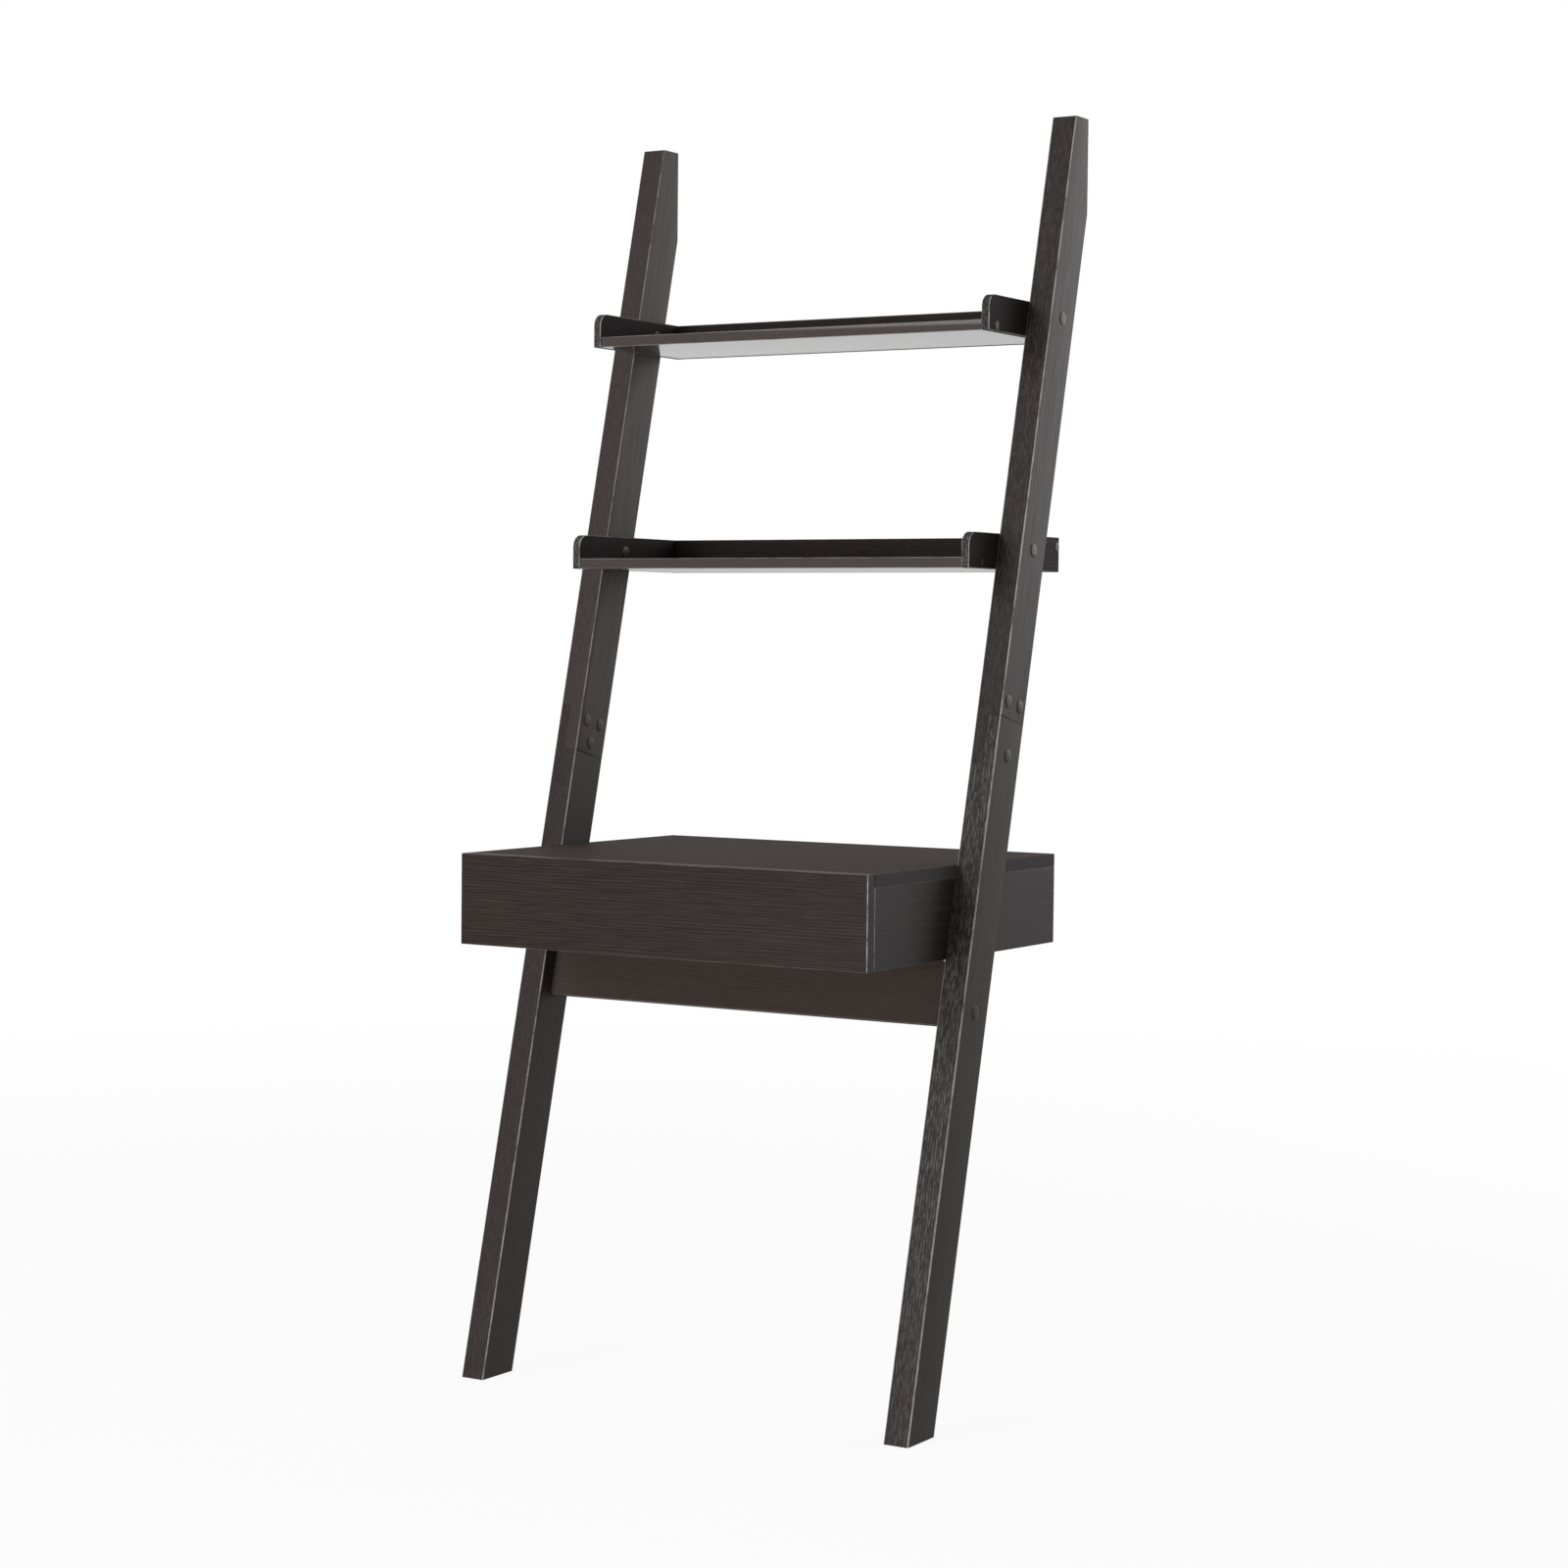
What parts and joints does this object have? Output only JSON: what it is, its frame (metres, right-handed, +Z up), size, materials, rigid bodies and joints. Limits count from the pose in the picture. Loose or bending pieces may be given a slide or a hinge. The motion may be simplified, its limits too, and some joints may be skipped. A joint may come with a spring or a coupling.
{
  "type": "ladder desk",
  "caption": "Leaning ladder desk: slanted half-lapped stiles carry a desk box with a full-front drawer on roller slides, open trays above it and a stretcher panel below.",
  "frame": {"origin": "on the floor, under the middle of the whole desk's width and depth", "axes": "+X to the sitter's right, +Y to the wall, +Z up"},
  "size_m": [0.7424, 0.544, 1.82],
  "materials": {
    "espresso_wood": "satin espresso stain with open grain",
    "drawer_box_wood": "matt dark stain",
    "drawer_board": "smooth dark-faced hardboard",
    "cap_plastic": "satin moulded dark brown",
    "zinc_steel": "bright zinc",
    "slide_paint": "dark epoxy paint",
    "roller_nylon": "natural nylon",
    "dowel_wood": "raw fluted beech"
  },
  "bodies": {
    "frame": {"cabinet_rail_screws": "zinc_steel", "desk_back": "espresso_wood", "desk_bolt_inserts": "zinc_steel", "desk_bolts": "zinc_steel", "desk_cam_bolts": "zinc_steel", "desk_cam_locks": "zinc_steel", "desk_left_side": "espresso_wood", "desk_right_side": "espresso_wood", "desk_top": "espresso_wood", "front_roller_pins": "zinc_steel", "lap_bolts": "zinc_steel", "lap_cam_bolts": "zinc_steel", "lap_cam_locks": "zinc_steel", "lap_sleeve_nuts": "zinc_steel", "left_cabinet_rail": "slide_paint", "left_lower_stile": "espresso_wood", "left_upper_stile": "espresso_wood", "lower_tray_left_end": "espresso_wood", "lower_tray_rail": "espresso_wood", "lower_tray_right_end": "espresso_wood", "lower_tray_shelf": "espresso_wood", "right_cabinet_rail": "slide_paint", "right_lower_stile": "espresso_wood", "right_upper_stile": "espresso_wood", "stile_cover_caps": "cap_plastic", "stretcher_barrel_nuts": "zinc_steel", "stretcher_bolts": "zinc_steel", "stretcher_dowels": "dowel_wood", "stretcher_panel": "espresso_wood", "tray_bolts": "zinc_steel", "tray_cover_caps": "cap_plastic", "tray_screw_caps": "cap_plastic", "tray_screws": "zinc_steel", "tray_sleeve_nuts": "zinc_steel", "upper_tray_left_end": "espresso_wood", "upper_tray_rail": "espresso_wood", "upper_tray_right_end": "espresso_wood", "upper_tray_shelf": "espresso_wood"},
    "drawer": {"drawer_back": "drawer_box_wood", "drawer_bottom": "drawer_board", "drawer_cam_bolts": "zinc_steel", "drawer_cam_locks": "zinc_steel", "drawer_dowels": "dowel_wood", "drawer_front": "espresso_wood", "drawer_left_side": "drawer_box_wood", "drawer_rail_screws": "zinc_steel", "drawer_right_side": "drawer_box_wood", "drawer_screws": "zinc_steel", "left_drawer_rail": "slide_paint", "rear_roller_pins": "zinc_steel", "right_drawer_rail": "slide_paint"},
    "left_front_roller": {"left_front_roller": "roller_nylon"},
    "left_rear_roller": {"left_rear_roller": "roller_nylon"},
    "right_front_roller": {"right_front_roller": "roller_nylon"},
    "right_rear_roller": {"right_rear_roller": "roller_nylon"}
  },
  "joints": [
    {"name": "drawer_slide", "type": "slide", "parent": "frame", "child": "drawer", "axis": [0, -1, 0], "range_m": [0, 0.3]},
    {"name": "left_front_roller_spin", "type": "hinge", "parent": "frame", "child": "left_front_roller", "pos_m": [-0.31075, -0.235, 0.6625], "axis": [1, 0, 0], "range_deg": [0, 1725]},
    {"name": "left_rear_roller_spin", "type": "hinge", "parent": "drawer", "child": "left_rear_roller", "pos_m": [-0.31075, 0.133, 0.6588], "axis": [1, 0, 0], "range_deg": [0, 1642]},
    {"name": "right_front_roller_spin", "type": "hinge", "parent": "frame", "child": "right_front_roller", "pos_m": [0.31075, -0.235, 0.6625], "axis": [1, 0, 0], "range_deg": [0, 1725]},
    {"name": "right_rear_roller_spin", "type": "hinge", "parent": "drawer", "child": "right_rear_roller", "pos_m": [0.31075, 0.133, 0.6588], "axis": [1, 0, 0], "range_deg": [0, 1642]}
  ],
  "couplings": [
    {"joint": "left_front_roller_spin", "follows": "drawer_slide", "rad_per_m": 100},
    {"joint": "left_rear_roller_spin", "follows": "drawer_slide", "rad_per_m": 95.238},
    {"joint": "right_front_roller_spin", "follows": "drawer_slide", "rad_per_m": 100},
    {"joint": "right_rear_roller_spin", "follows": "drawer_slide", "rad_per_m": 95.238}
  ]
}
